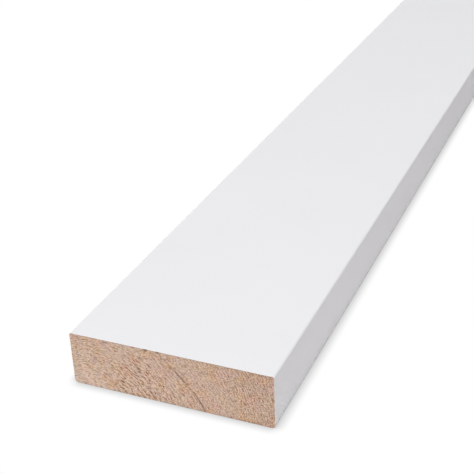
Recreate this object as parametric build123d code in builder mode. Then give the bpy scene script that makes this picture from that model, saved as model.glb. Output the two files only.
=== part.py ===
from build123d import *
import os

# A primed softwood fascia board, in millimetres: one length of planed timber with four eased long
# edges and two square-sawn ends, lying on its back face. The origin is the middle of that face. X
# runs across the board, Y along it, and Z up through its thickness to the show face.

# Stock sizes: a dressed 38 by 140 section, in a length that it is sold in
board_length = 2400.0
board_width = 140.0
board_thickness = 38.0

# The planer eases each long edge, so that the primer doesn't thin out over a sharp corner. The edges
# of the show face stay crisp, and those of the back are rounder.
show_edge_radius = 1.5
back_edge_radius = 2.5

with BuildPart() as fascia_board:
    # The planed section stands on the back face, halfway along the board
    with BuildSketch(Plane.XZ) as planed_section:
        Rectangle(board_width, board_thickness, align=(Align.CENTER, Align.MIN))
        fillet(planed_section.vertices().group_by(Axis.Y)[-1], radius=show_edge_radius)
        fillet(planed_section.vertices().group_by(Axis.Y)[0], radius=back_edge_radius)
    # Both ends are cross-cut square, at equal distances from the middle
    extrude(amount=board_length / 2, both=True)

fascia_board.part.label = "fascia_board"

os.makedirs("parts", exist_ok=True)
export_step(fascia_board.part, "parts/fascia_board.step")
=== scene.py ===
import math
import bpy
import numpy as np
from mathutils import Matrix, Vector


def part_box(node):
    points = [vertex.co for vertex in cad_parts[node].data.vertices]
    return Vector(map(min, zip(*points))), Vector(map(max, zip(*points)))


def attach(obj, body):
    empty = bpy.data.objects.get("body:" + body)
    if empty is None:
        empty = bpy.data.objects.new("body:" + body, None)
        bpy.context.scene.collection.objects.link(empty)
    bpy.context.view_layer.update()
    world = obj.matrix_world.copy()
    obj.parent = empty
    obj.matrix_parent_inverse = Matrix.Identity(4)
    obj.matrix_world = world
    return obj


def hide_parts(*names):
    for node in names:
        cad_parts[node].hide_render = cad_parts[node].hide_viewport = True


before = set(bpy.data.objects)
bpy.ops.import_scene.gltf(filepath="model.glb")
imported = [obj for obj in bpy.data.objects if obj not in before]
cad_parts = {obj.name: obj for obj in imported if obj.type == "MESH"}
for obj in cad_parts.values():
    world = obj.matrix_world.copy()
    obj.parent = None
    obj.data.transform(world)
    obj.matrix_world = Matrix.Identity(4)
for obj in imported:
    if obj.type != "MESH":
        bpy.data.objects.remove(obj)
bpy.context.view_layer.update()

# The fascia board itself: one length of planed softwood with eased long edges, primed white in the
# factory on its four long faces. It is cross-cut to length after priming, so both ends are bare, and
# the saw leaves a flat but slightly torn face there, with the growth rings in view.
half_width, half_length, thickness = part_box("fascia_board")[1]
show_edge = 0.0015
back_edge = 0.0025

# The tree's centre, the pith, lies 30 mm under the near end's lower left corner, so that the rings cross
# the end as arcs: nearly level on the left, steep on the right. All growth sizes are millimetres: the
# pith's place at the near end, how far it moves by the far end, and ring widths by distance from it.
pith_near_end = (-65.0, -30.0)
pith_drift = (5.0, -7.0)
ring_radii = (0.0, 50.0, 60.0, 84.0, 88.0, 92.0, 98.0, 112.0, 160.0)
ring_widths = (2.9, 2.9, 3.6, 3.3, 3.1, 4.3, 3.4, 1.9, 1.7)
outermost = 180.0
growth_step = 0.05

# The rings wander: how far, in how many waves to a radian round the pith and to the board's length, over
# how many millimetres outwards, and the seed. Torn fibres shift a ring's edge by a share of its width.
ring_wanders = ((0.9, 9, 5, 60, 3), (0.35, 28, 11, 22, 4))
ring_raggedness = 0.35

# How plainly a ring's dark late wood shows, about 1 in full: by its distance from the pith, and by the
# angle round it in degrees, as it fades towards the left. It begins to be dense, and is fully so, at
# these shares of a ring, stops over the last share, and stands proud of the torn wood round it.
late_wood_radii = (40.0, 50.0, 60.0, 70.0, 80.0, 88.0, 95.0, 110.0, 125.0)
late_wood_shows = (1.1, 1.7, 1.3, 1.4, 0.7, 0.75, 0.45, 0.45, 0.6)
late_wood_angles = (44.0, 60.0, 75.0)
late_wood_fades = (1.0, 0.6, 0.5)
dense_begins, dense_full, dense_stops = 0.6, 0.9, 0.08
dense_proud = 0.05

# One ring has begun to part from the next, a shake, and the ring inside it a little too. Here are its
# distance from the pith at angles round it, in degrees, the radius that it is counted as, where and how
# far each of the two has opened, and the angles, in radians, round which it gapes. Rings near it follow
# it, and the nearest don't wander. Then come the least opening, and the groove's half width and depth.
shake_angles = (18.0, 26.0, 34.0, 42.0, 50.0)
shake_radii = (93.8, 92.4, 89.9, 88.6, 89.0)
shake_ring = 90.0
shake_opens = ((0.0, 1.0), (-3.1, 0.25))
shake_gapes = ((0.611, 0.045), (0.403, 0.075))
shake_bends, shake_stills = 22.0, 9.0
shake_least = 0.38
shake_half_width = 0.45
shake_depth = 0.45

# The saw's traces, in millimetres: how deep fibres are torn on average, in tufts so wide and so long that
# follow the rings and in loose ones so large, and the faint arcs that the teeth leave round the blade's
# centre, which shift by part of a turn, in radians, over a longer distance
tear_depth = 0.05
tuft_width, tuft_length, loose_tuft = 0.9, 1.7, 0.8
blade_centre = (60.0, -190.0)
tooth_pitch, tooth_depth = 2.1, 0.012
tooth_shift, tooth_shift_over = 1.5, 11.0


def lattice_noise(u, v, seed):
    """Smooth noise from -1 to 1: seeded random values at whole numbers of u and v, eased in between."""
    size = 256
    table = np.random.default_rng(seed).uniform(-1, 1, (size, size))
    i, j = np.floor(u).astype(int), np.floor(v).astype(int)
    a, b = u - i, v - j
    a, b = a * a * (3 - 2 * a), b * b * (3 - 2 * b)
    i, j, i1, j1 = i % size, j % size, (i + 1) % size, (j + 1) % size
    near = table[i, j] * (1 - a) + table[i1, j] * a
    far = table[i, j1] * (1 - a) + table[i1, j1] * a
    return near * (1 - b) + far * b


def growth(x, y, z):
    """Where each point of the timber grew, in millimetres: its distance from the pith, which moves
    along the board, with rings near the shake bent to follow it; its arc length round the pith; and
    the rings counted from the pith, the running sum of one over the ring width, whole at the shake."""
    along = (y + half_length) / (2 * half_length)
    dx = x * 1000 - pith_near_end[0] - pith_drift[0] * along
    dz = z * 1000 - pith_near_end[1] - pith_drift[1] * along
    radius = np.hypot(dx, dz)
    angle = np.arctan2(dz, dx)
    shake_here = np.interp(np.degrees(angle), shake_angles, shake_radii)
    from_shake = radius - shake_here
    wander = sum(size * lattice_noise(angle * waves, along * lengthwise + radius / outwards, seed)
                 for size, waves, lengthwise, outwards, seed in ring_wanders)
    wander *= 1 - np.exp(-((from_shake / shake_stills) ** 2))
    follows = np.exp(-((from_shake / shake_bends) ** 2))
    bent = radius + wander - (shake_here - shake_ring) * follows
    steps = np.arange(0, outermost + growth_step, growth_step)
    count = np.cumsum(growth_step / np.interp(steps, ring_radii, ring_widths))
    count += 1 - np.interp(shake_ring, steps, count) % 1
    return bent, angle * radius, np.interp(bent, steps, count)


def saw_face(x, y, z):
    """Depth of the sawn end below its plane, in metres, and how far a shake has opened there: torn
    fibres are noise drawn out along the rings, dense late wood stands a little proud, the saw's teeth
    leave arcs, and a shake is a narrow groove along one ring that opens in two places."""
    radius, arc, rings = growth(x, y, z)
    torn = 1 + lattice_noise(radius / tuft_width, arc / tuft_length, seed=11)
    torn += lattice_noise(x * 1000 / loose_tuft, z * 1000 / loose_tuft, seed=12)
    in_ring = rings % 1
    dense = np.clip((in_ring - dense_begins) / (dense_full - dense_begins), 0, 1)
    dense *= np.clip((1 - in_ring) / dense_stops, 0, 1)
    from_blade = np.hypot(x * 1000 - blade_centre[0], z * 1000 - blade_centre[1])
    shift = lattice_noise(x * 1000 / tooth_shift_over, z * 1000 / tooth_shift_over, seed=13)
    teeth = np.sin(2 * np.pi * from_blade / tooth_pitch + tooth_shift * shift)
    gape = sum(np.exp(-(((arc / radius - at) / half) ** 2)) for at, half in shake_gapes)
    groove = sum(opens * np.exp(-(((radius - shake_ring - at) / shake_half_width) ** 2))
                 for at, opens in shake_opens)
    shake = groove * np.clip(shake_least + gape, 0, 1)
    depth = tear_depth * torn - dense_proud * dense + tooth_depth * teeth + shake_depth * shake
    return np.clip(depth, 0, None) / 1000, shake


def half_width_at(height):
    """Half the section's width at a height: the board's half width, less what a quarter circle takes
    off it within an eased edge."""
    into_back = np.clip(back_edge - height, 0, back_edge)
    into_show = np.clip(show_edge - (thickness - height), 0, show_edge)
    taken_at_back = back_edge - np.sqrt(back_edge**2 - into_back**2)
    taken_at_show = show_edge - np.sqrt(show_edge**2 - into_show**2)
    return half_width - taken_at_back - taken_at_show


# Each end is a grid, with its rows spread evenly by angle round the eased edges and evenly between them,
# and the loop round that grid is the section that the long faces are carried along from
columns, rows_flat, rows_eased = 281, 74, 7
quarter = 1 - np.cos(np.linspace(0, np.pi / 2, rows_eased))
flat = np.linspace(back_edge, thickness - show_edge, rows_flat)
row_heights = np.concatenate([back_edge * quarter, flat[1:-1], thickness - show_edge * quarter[::-1]])
rows = len(row_heights)
end_x = np.linspace(-1, 1, columns)[None, :] * half_width_at(row_heights)[:, None]
end_z = np.repeat(row_heights[:, None], columns, axis=1)
cell = np.arange(rows * columns).reshape(rows, columns)
loop = np.concatenate([cell[0, :-1], cell[:-1, -1], cell[-1, :0:-1], cell[:0:-1, 0]])

# Cross sections stand close together near the sawn ends, where the primer chips, and far apart between
from_end = np.array([0.0, 0.25, 0.5, 0.8, 1.2, 1.7, 2.4, 3.5, 6.0, 12.0, 25.0, 50.0]) / 1000
plain_from_end, plain_sections = 0.1, 25
middle = np.linspace(-half_length + plain_from_end, half_length - plain_from_end, plain_sections)
stations = np.concatenate([-half_length + from_end, middle, (half_length - from_end)[::-1]])
skin_x = np.repeat(end_x.ravel()[loop][None, :], len(stations), axis=0)
skin_y = np.repeat(stations[:, None], len(loop), axis=1)
skin_z = np.repeat(end_z.ravel()[loop][None, :], len(stations), axis=0)

# Where the saw tore chips out of the show face's sawn edge: the place along the near end, the chip's half
# width, how far it reaches along the primed face and down the end, in millimetres, and how fully it came
# away. The far end has its own few. A chip takes the coat off the face, leaves a hollow in the end, and
# is ragged by a share of its size, with so many nicks to a millimetre, and softened by another share.
chips_near = (
    (-15.7, 1.5, 0.4, 1.6, 1.0),
    (-7.2, 1.6, 0.5, 1.0, 0.6),
    (-29.0, 0.5, 0.2, 0.6, 0.6),
    (68.6, 0.6, 0.5, 0.5, 0.8),
)
chips_far = ((52.0, 1.3, 0.9, 1.2, 1.0), (12.5, 0.6, 0.5, 0.6, 0.8), (-47.0, 0.9, 0.7, 0.8, 0.8))
chip_into_face, chip_into_end = 0.00025, 0.0005
chip_raggedness, chip_nicks, chip_softness = 0.35, 2.6, 0.3


def chipped(x, y, z):
    """How far the sawn edge is chipped away, 0 to 1: the chip's fullness inside an ellipsoid round its
    place on the edge, with a ragged and softened outline."""
    away = np.zeros_like(x)
    ragged = 1 + chip_raggedness * lattice_noise(x * 1000 * chip_nicks, (y + z) * 1000 * chip_nicks, seed=21)
    for end, chips in ((-half_length, chips_near), (half_length, chips_far)):
        for place, half, along_face, down_end, fullness in chips:
            across, along, down = (x * 1000 - place) / half, (y - end) * 1000, (thickness - z) * 1000
            oval = np.sqrt(across**2 + (along / along_face) ** 2 + (down / down_end) ** 2) * ragged
            inside = (1 + chip_softness / 2 - oval) / chip_softness
            away = np.maximum(away, fullness * np.clip(inside, 0, 1))
    return away


near_y, far_y = np.full_like(end_x, -half_length), np.full_like(end_x, half_length)
near_chips, far_chips = chipped(end_x, near_y, end_z), chipped(end_x, far_y, end_z)
skin_chips = chipped(skin_x, skin_y, skin_z)
skin_z = skin_z - chip_into_face * skin_chips

# The saw face meets the long faces at its own plane, and reaches its full depth a little way in
rim_reach = 0.0008
rim = np.minimum(end_z, thickness - end_z)
from_side = half_width_at(row_heights)[:, None] - np.abs(end_x)
settle = np.clip(np.minimum(rim, from_side) / rim_reach, 0, 1)
near_depth, near_shake = saw_face(end_x, near_y, end_z)
far_depth, far_shake = saw_face(end_x, far_y, end_z)
near_depth, far_depth = near_depth + chip_into_end * near_chips, far_depth + chip_into_end * far_chips
near_z, far_z = end_z.copy(), end_z.copy()
near_z.ravel()[loop] = skin_z[0]
far_z.ravel()[loop] = skin_z[-1]

inner = slice(1, -1)
points = np.concatenate([
    np.stack([end_x, near_y + near_depth * settle, near_z], axis=-1).reshape(-1, 3),
    np.stack([skin_x, skin_y, skin_z], axis=-1)[inner].reshape(-1, 3),
    np.stack([end_x, far_y - far_depth * settle, far_z], axis=-1).reshape(-1, 3),
])
far_first = len(points) - rows * columns
sections = np.concatenate([
    loop[None, :],
    np.arange(rows * columns, far_first).reshape(-1, len(loop)),
    loop[None, :] + far_first,
])
closed_sections = np.concatenate([sections, sections[:, :1]], axis=1)


def quads(index, flip):
    """The four corners of each cell of a grid of point numbers, turned the other way round on request."""
    corners = [index[:-1, :-1], index[:-1, 1:], index[1:, 1:], index[1:, :-1]]
    return np.stack(corners[::-1] if flip else corners, axis=-1).reshape(-1, 4)


near_faces = quads(cell, False)
skin_faces = quads(closed_sections, True)
far_faces = quads(cell + far_first, True)
faces = np.concatenate([near_faces, skin_faces, far_faces])
sawn = np.concatenate([np.ones(len(near_faces)), np.zeros(len(skin_faces)), np.ones(len(far_faces))])

# Edges that turn by more than this many degrees stay crisp, and the rest is shaded smooth
sharp_beyond = 50.0
mesh = bpy.data.meshes.new("primed_fascia_board")
mesh.vertices.add(len(points))
mesh.vertices.foreach_set("co", points.ravel())
mesh.loops.add(faces.size)
mesh.loops.foreach_set("vertex_index", faces.ravel().astype(np.int32))
mesh.polygons.add(len(faces))
mesh.polygons.foreach_set("loop_start", np.arange(0, faces.size, 4, dtype=np.int32))
mesh.polygons.foreach_set("material_index", sawn.astype(np.int32))
mesh.polygons.foreach_set("use_smooth", np.ones(len(faces), dtype=bool))
mesh.update(calc_edges=True)
mesh.validate()
mesh.set_sharp_from_angle(angle=math.radians(sharp_beyond))


def keep_on_points(name, kind, field, values):
    """Stores one number or one triple for each point, which the finishes read by name."""
    layer = mesh.attributes.new(name, kind, "POINT")
    layer.data.foreach_set(field, np.ascontiguousarray(values, dtype=np.float32).ravel())


# What the finishes read: where each point grew, how plainly late wood shows there, and, on the ends
# alone, the shake and the distance from the faces; then where the edge is chipped
radius, arc, rings = growth(*points.T)
grown_at = np.stack([radius, arc, rings - ring_raggedness / 2], axis=-1)
late_wood = np.interp(radius, late_wood_radii, late_wood_shows)
late_wood *= np.interp(np.degrees(arc / radius), late_wood_angles, late_wood_fades)
off_ends = np.zeros(far_first - rows * columns)
keep_on_points("growth", "FLOAT_VECTOR", "vector", grown_at)
for name, parts in (
    ("late_wood", (late_wood,)),
    ("shake", (near_shake, off_ends, far_shake)),
    ("rim", (rim, off_ends, rim)),
    ("chips", (near_chips, skin_chips[inner], far_chips)),
):
    keep_on_points(name, "FLOAT", "value", np.concatenate([part.ravel() for part in parts]))


def srgb(code):
    """A colour written as sRGB hex, turned to the linear values that a shader takes."""
    part = np.array([int(code[i:i + 2], 16) for i in (1, 3, 5)]) / 255
    part = np.where(part <= 0.04045, part / 12.92, ((part + 0.055) / 1.055) ** 2.4)
    return (*part.tolist(), 1.0)


def add(tree, kind, links=None, **settings):
    """Adds a shader node: settings are its properties, and links gives each input a socket or a value.
    A Mix of colours takes its share at input 0 and the colours at 6 and 7, and gives output 2."""
    node = tree.nodes.new("ShaderNode" + kind)
    for name, value in settings.items():
        setattr(node, name, value)
    for name, value in (links or {}).items():
        if isinstance(value, bpy.types.NodeSocket):
            tree.links.new(value, node.inputs[name])
        else:
            node.inputs[name].default_value = value
    return node


def emptied(finish):
    """The node tree of a material or of the world, emptied for the nodes that follow."""
    finish.use_nodes = True
    finish.node_tree.nodes.clear()
    return finish.node_tree


# Factory primer: a sprayed and oven-dried white alkyd coat, matt to satin. It hides the wood's colour
# and leaves a very fine stipple, over which the rings and fibres just show as faint raised lines. The
# sizes are millimetres, and the last two say how much the rings and the stipple rise beside the fibres.
cloud_size = 70.0
stipple_size = 0.9
fibre_width, fibre_length = 1.4, 55.0
ring_rise, stipple_rise = 0.35, 0.7
primer = bpy.data.materials.new("white_alkyd_primer_sprayed")
tree = emptied(primer)
where = add(tree, "TexCoord")
cloud = add(tree, "TexNoise", {
    "Vector": where.outputs["Object"], "Scale": 1000 / cloud_size, "Detail": 3.0})
coat = add(tree, "Mix", {
    0: cloud.outputs["Fac"], 6: srgb("#EBEBED"), 7: srgb("#EFEFF1")}, data_type="RGBA")
bare = add(tree, "Attribute", attribute_name="chips")
colour = add(tree, "Mix", {
    0: bare.outputs["Fac"], 6: coat.outputs[2], 7: srgb("#A98468")}, data_type="RGBA")
dull = add(tree, "MapRange", {"Value": cloud.outputs["Fac"], "To Min": 0.46, "To Max": 0.58})
grown = add(tree, "Attribute", attribute_name="growth")
grown_parts = add(tree, "SeparateXYZ", {"Vector": grown.outputs["Vector"]})
in_ring = add(tree, "Math", {0: grown_parts.outputs["Z"]}, operation="FRACT")
drawn_out = add(tree, "Mapping", {
    "Vector": where.outputs["Object"],
    "Scale": (1000 / fibre_width, 1000 / fibre_length, 1000 / fibre_width),
})
fibres = add(tree, "TexNoise", {"Vector": drawn_out.outputs["Vector"], "Scale": 1.0, "Detail": 2.0})
stipple = add(tree, "TexNoise", {
    "Vector": where.outputs["Object"], "Scale": 1000 / stipple_size, "Detail": 3.0})
height = add(tree, "Math", {
    0: in_ring.outputs["Value"], 1: ring_rise, 2: fibres.outputs["Fac"]}, operation="MULTIPLY_ADD")
height = add(tree, "Math", {
    0: stipple.outputs["Fac"], 1: stipple_rise, 2: height.outputs["Value"]}, operation="MULTIPLY_ADD")
bump = add(tree, "Bump", {"Height": height.outputs["Value"], "Strength": 0.35, "Distance": 0.00003})
shader = add(tree, "BsdfPrincipled", {
    "Base Color": colour.outputs[2],
    "Roughness": dull.outputs["Result"],
    "IOR": 1.48,
    "Specular IOR Level": 0.28,
    "Normal": bump.outputs["Normal"],
})
add(tree, "OutputMaterial", {"Surface": shader.outputs["BSDF"]})

# Sawn softwood end grain: open, dry and dull. Pale early wood passes into darker late wood at each
# ring's outside, broken up by torn fibres, which show as light and dark flecks along the rings. Real
# fibres are a few hundredths of a millimetre wide, too fine to show, so they are drawn coarser, as tufts
# of them. The sizes are millimetres.
pale_within, dark_beyond = 30.0, 140.0
ragged_size = 1.5
patch_size = 7.0
broken_width, broken_length = 4.0, 5.0
pit_width, pit_length = 0.78, 1.02
dash_width, dash_length = 0.9, 3.6
fuzz_size = 0.45
rim_darkening_reach = 0.7
end_grain = bpy.data.materials.new("softwood_end_grain_sawn")
tree = emptied(end_grain)
where = add(tree, "TexCoord")
grown = add(tree, "Attribute", attribute_name="growth")
grown_parts = add(tree, "SeparateXYZ", {"Vector": grown.outputs["Vector"]})


def along_rings(width, length):
    """Noise in blots that are so wide across the rings and so long along them, in millimetres."""
    blot = (1 / width, 1 / length, 0.0)
    laid = add(tree, "VectorMath", {0: grown.outputs["Vector"], 1: blot}, operation="MULTIPLY")
    noise = add(tree, "TexNoise", {
        "Vector": laid.outputs["Vector"], "Scale": 1.0, "Detail": 1.0}, noise_dimensions="2D")
    return noise.outputs["Fac"]


# Early wood, palest near the pith, with patches that are richer in resin, greyer, pinker or more straw
outward = add(tree, "MapRange", {
    "Value": grown_parts.outputs["X"], "From Min": pale_within, "From Max": dark_beyond})
wood = add(tree, "Mix", {
    0: outward.outputs["Result"], 6: srgb("#EFD8C8"), 7: srgb("#BB9C8B")}, data_type="RGBA")
patch = add(tree, "TexNoise", {
    "Vector": where.outputs["Object"], "Scale": 1000 / patch_size, "Detail": 2.0})
patches = add(tree, "SeparateColor", {"Color": patch.outputs["Color"]})
for channel, begins, full, most, code in (
    ("Red", 0.48, 0.66, 0.7, "#D5AA81"),
    ("Red", 0.5, 0.36, 0.6, "#CDB6A8"),
    ("Green", 0.5, 0.66, 0.5, "#D6ABA1"),
    ("Green", 0.5, 0.34, 0.35, "#D2B894"),
):
    share = add(tree, "MapRange", {
        "Value": patches.outputs[channel], "From Min": begins, "From Max": full, "To Max": most})
    wood = add(tree, "Mix", {
        0: share.outputs["Result"], 6: wood.outputs[2], 7: srgb(code)}, data_type="RGBA")

# Late wood: a dark line that grows towards each ring's outside and stops there, in broken lengths
ragged = add(tree, "TexNoise", {
    "Vector": where.outputs["Object"], "Scale": 1000 / ragged_size, "Detail": 2.0})
ringed = add(tree, "Math", {
    0: ragged.outputs["Fac"], 1: ring_raggedness, 2: grown_parts.outputs["Z"]}, operation="MULTIPLY_ADD")
in_ring = add(tree, "Math", {0: ringed.outputs["Value"]}, operation="FRACT")
late = add(tree, "ValToRGB", {"Fac": in_ring.outputs["Value"]})
begins, peaks = late.color_ramp.elements
begins.position, begins.color = 0.5, (0, 0, 0, 1)
peaks.position, peaks.color = 0.9, (1, 1, 1, 1)
late.color_ramp.elements.new(1.0).color = (0, 0, 0, 1)
broken = along_rings(broken_width, broken_length)
lengths = add(tree, "MapRange", {
    "Value": broken, "From Min": 0.4, "From Max": 0.62, "To Min": 0.1, "To Max": 0.72})
late = add(tree, "Math", {0: late.outputs["Color"], 1: lengths.outputs["Result"]}, operation="MULTIPLY")
plain = add(tree, "Attribute", attribute_name="late_wood")
late = add(tree, "Math", {0: late.outputs["Value"], 1: plain.outputs["Fac"]}, operation="MULTIPLY")
wood = add(tree, "Mix", {
    0: late.outputs["Value"], 6: wood.outputs[2], 7: srgb("#96623B")}, data_type="RGBA")

# Torn fibres: dark pits and pale tufts, then dark grooves and pale ridges drawn out along the rings, the
# grooves only as plain as the late wood that they lie in
pits = along_rings(pit_width, pit_length)
dashes = along_rings(dash_width, dash_length)
for torn, begins, full, most, by_late_wood, code in (
    (pits, 0.5, 0.26, 0.47, False, "#784107"),
    (pits, 0.5, 0.74, 0.73, False, "#F0E0CA"),
    (dashes, 0.55, 0.75, 0.8, True, "#753C06"),
    (dashes, 0.47, 0.28, 0.45, False, "#EBCCB1"),
):
    share = add(tree, "MapRange", {
        "Value": torn, "From Min": begins, "From Max": full, "To Max": most})
    shows = share.outputs["Result"]
    if by_late_wood:
        plainly = add(tree, "Math", {0: shows, 1: plain.outputs["Fac"]}, operation="MULTIPLY")
        shows = plainly.outputs["Value"]
    wood = add(tree, "Mix", {0: shows, 6: wood.outputs[2], 7: srgb(code)}, data_type="RGBA")

# Painted shade inside the parted ring and in the chips' hollows; the end is darker along its edges at the
# two wide faces
shake = add(tree, "Attribute", attribute_name="shake")
# Painted shade inside the shake, darkest where it gapes
shake_painted_shade = add(tree, "Math", {0: shake.outputs["Fac"], 1: 0.82}, operation="MULTIPLY")
wood = add(tree, "Mix", {
    0: shake_painted_shade.outputs["Value"], 6: wood.outputs[2], 7: srgb("#652900")}, data_type="RGBA")
# The end is darker within a short reach of the two wide faces
from_face = add(tree, "Attribute", attribute_name="rim")
rim_darkening = add(tree, "MapRange", {
    "Value": from_face.outputs["Fac"], "From Min": rim_darkening_reach / 1000, "From Max": 0.0, "To Max": 0.4})
wood = add(tree, "Mix", {
    0: rim_darkening.outputs["Result"], 6: wood.outputs[2], 7: srgb("#856B58")}, data_type="RGBA")
chips = add(tree, "Attribute", attribute_name="chips")
# Painted shade in the hollows that the chips leave in the end
chip_painted_shade = add(tree, "Math", {0: chips.outputs["Fac"], 1: 0.75}, operation="MULTIPLY")
wood = add(tree, "Mix", {
    0: chip_painted_shade.outputs["Value"], 6: wood.outputs[2], 7: srgb("#5A4332")}, data_type="RGBA")
fuzz = add(tree, "TexNoise", {
    "Vector": where.outputs["Object"], "Scale": 1000 / fuzz_size, "Detail": 3.0})
bump = add(tree, "Bump", {"Height": fuzz.outputs["Fac"], "Strength": 0.6, "Distance": 0.0002})
shader = add(tree, "BsdfPrincipled", {
    "Base Color": wood.outputs[2],
    "Roughness": 0.85,
    "IOR": 1.5,
    "Specular IOR Level": 0.2,
    "Normal": bump.outputs["Normal"],
})
add(tree, "OutputMaterial", {"Surface": shader.outputs["BSDF"]})

mesh.materials.append(primer)
mesh.materials.append(end_grain)
board = bpy.data.objects.new("primed_fascia_board", mesh)
bpy.context.scene.collection.objects.link(board)
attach(board, "root")
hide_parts("fascia_board")

# The studio floor: matt grey paint, with a sheet of white card round the board's near end. It lights
# the sides as such a floor does, and shows as plain white with only the dark of the board's contact on
# it, darkest in the gap under the eased edges.
# In metres: how far the floor reaches, how near the board its contact shows, and where the card lies and
# fades into the paint. Along the board only a share of the distance counts, so the card is long.
floor_reach = 30.0
contact_reach = 0.008
card_centre = (0.05, -1.25, 0.0)
card_stretch = 0.3
card_begins_to_fade, card_gone = 0.08, 0.4
floor_mesh = bpy.data.meshes.new("studio_floor")
corners = np.array([[-1, -1, 0], [1, -1, 0], [1, 1, 0], [-1, 1, 0]]) * floor_reach
floor_mesh.from_pydata(corners.tolist(), [], [(0, 1, 2, 3)])


def looked_at(tree):
    """One where a ray looks straight, in gloss or through glass, and nought where it gathers light."""
    ray = add(tree, "LightPath")
    seen = add(tree, "Math", {
        0: ray.outputs["Is Camera Ray"], 1: ray.outputs["Is Glossy Ray"]}, operation="MAXIMUM")
    seen = add(tree, "Math", {
        0: seen.outputs["Value"], 1: ray.outputs["Is Transmission Ray"]}, operation="MAXIMUM")
    return seen.outputs["Value"]


card = bpy.data.materials.new("white_studio_card")
tree = emptied(card)
where = add(tree, "TexCoord")
from_card = add(tree, "VectorMath", {0: where.outputs["Object"], 1: card_centre}, operation="SUBTRACT")
from_card = add(tree, "VectorMath", {
    0: from_card.outputs["Vector"], 1: (1, card_stretch, 1)}, operation="MULTIPLY")
reach = add(tree, "VectorMath", {0: from_card.outputs["Vector"]}, operation="LENGTH")
off_card = add(tree, "MapRange", {
    "Value": reach.outputs["Value"], "From Min": card_begins_to_fade, "From Max": card_gone})
pale = add(tree, "Mix", {
    0: off_card.outputs["Result"], 6: srgb("#F3F0F1"), 7: srgb("#CFC8C8")}, data_type="RGBA")

# The less of the sky a spot sees, the darker it is: a little beside the board, and much more under it
open_sky = add(tree, "AmbientOcclusion", {"Distance": contact_reach}, samples=24)
beside = add(tree, "MapRange", {
    "Value": open_sky.outputs["AO"], "From Min": 0.5, "From Max": 0.97, "To Min": 0.66})
under = add(tree, "MapRange", {
    "Value": open_sky.outputs["AO"], "From Min": 0.1, "From Max": 0.5, "To Min": 0.3})
contact = add(tree, "Math", {0: beside.outputs["Result"], 1: under.outputs["Result"]}, operation="MULTIPLY")
shaded = add(tree, "VectorMath", {
    0: pale.outputs[2], "Scale": contact.outputs["Value"]}, operation="SCALE")
matt = add(tree, "BsdfDiffuse", {"Color": shaded.outputs["Vector"]})
white = add(tree, "Emission", {"Strength": contact.outputs["Value"]})
shown = add(tree, "MixShader", {
    0: looked_at(tree), 1: matt.outputs["BSDF"], 2: white.outputs["Emission"]})
add(tree, "OutputMaterial", {"Surface": shown.outputs["Shader"]})
floor_mesh.materials.append(card)
floor = bpy.data.objects.new("studio_floor", floor_mesh)
bpy.context.scene.collection.objects.link(floor)

# The light: a pale room all round, which is white where it is looked at straight or in gloss, one large
# softbox high above and forward of the near end, a small reflector low down at its right, and another
# behind the far end. Each has its place, what it aims at, its size, its power, and whether gloss shows it.
room_level = 0.24
lamps = (
    ("softbox", (0.15, -3.2, 6.0), (0.0, -1.0, 0.0), 4.0, 336.0, True),
    ("near_reflector", (0.5, -2.0, 0.5), (0.07, -1.15, 0.02), 0.4, 1.11, True),
    ("far_reflector", (-0.3, 1.9, 0.22), (0.0, 1.2, 0.02), 0.4, 2.2, False),
)
world = bpy.data.worlds.new("pale_room")
tree = emptied(world)
level = add(tree, "MapRange", {"Value": looked_at(tree), "To Min": room_level, "To Max": 1.0})
room = add(tree, "Background", {"Color": (1, 1, 1, 1), "Strength": level.outputs["Result"]})
add(tree, "OutputWorld", {"Surface": room.outputs["Background"]})
bpy.context.scene.world = world

for name, place, aim, size, power, in_gloss in lamps:
    lamp_data = bpy.data.lights.new(name, "AREA")
    lamp_data.shape = "SQUARE"
    lamp_data.size = size
    lamp_data.energy = power
    lamp = bpy.data.objects.new(name, lamp_data)
    lamp.location = place
    lamp.rotation_euler = (Vector(aim) - Vector(place)).to_track_quat("-Z", "Y").to_euler()
    lamp.visible_camera = False
    lamp.visible_glossy = in_gloss
    bpy.context.scene.collection.objects.link(lamp)

# The camera: a short telephoto held a little out of level, beyond the board's near end and to its
# right. It looks down along the board, which runs out of the picture at the upper right.
camera_place = Vector((0.2501, -1.6511, 0.3894))
camera_aim = Vector((-0.0192, -1.0446, 0.038))
camera_roll = -2.3
camera_data = bpy.data.cameras.new("camera")
camera_data.sensor_fit = "HORIZONTAL"
camera_data.sensor_width = 36.0
camera_data.lens = 76.66
camera = bpy.data.objects.new("camera", camera_data)
turn = (camera_aim - camera_place).to_track_quat("-Z", "Y").to_matrix().to_4x4()
roll = Matrix.Rotation(math.radians(camera_roll), 4, "Z")
camera.matrix_world = Matrix.Translation(camera_place) @ turn @ roll
bpy.context.scene.collection.objects.link(camera)
bpy.context.scene.camera = camera
bpy.context.scene.view_settings.view_transform = "Standard"
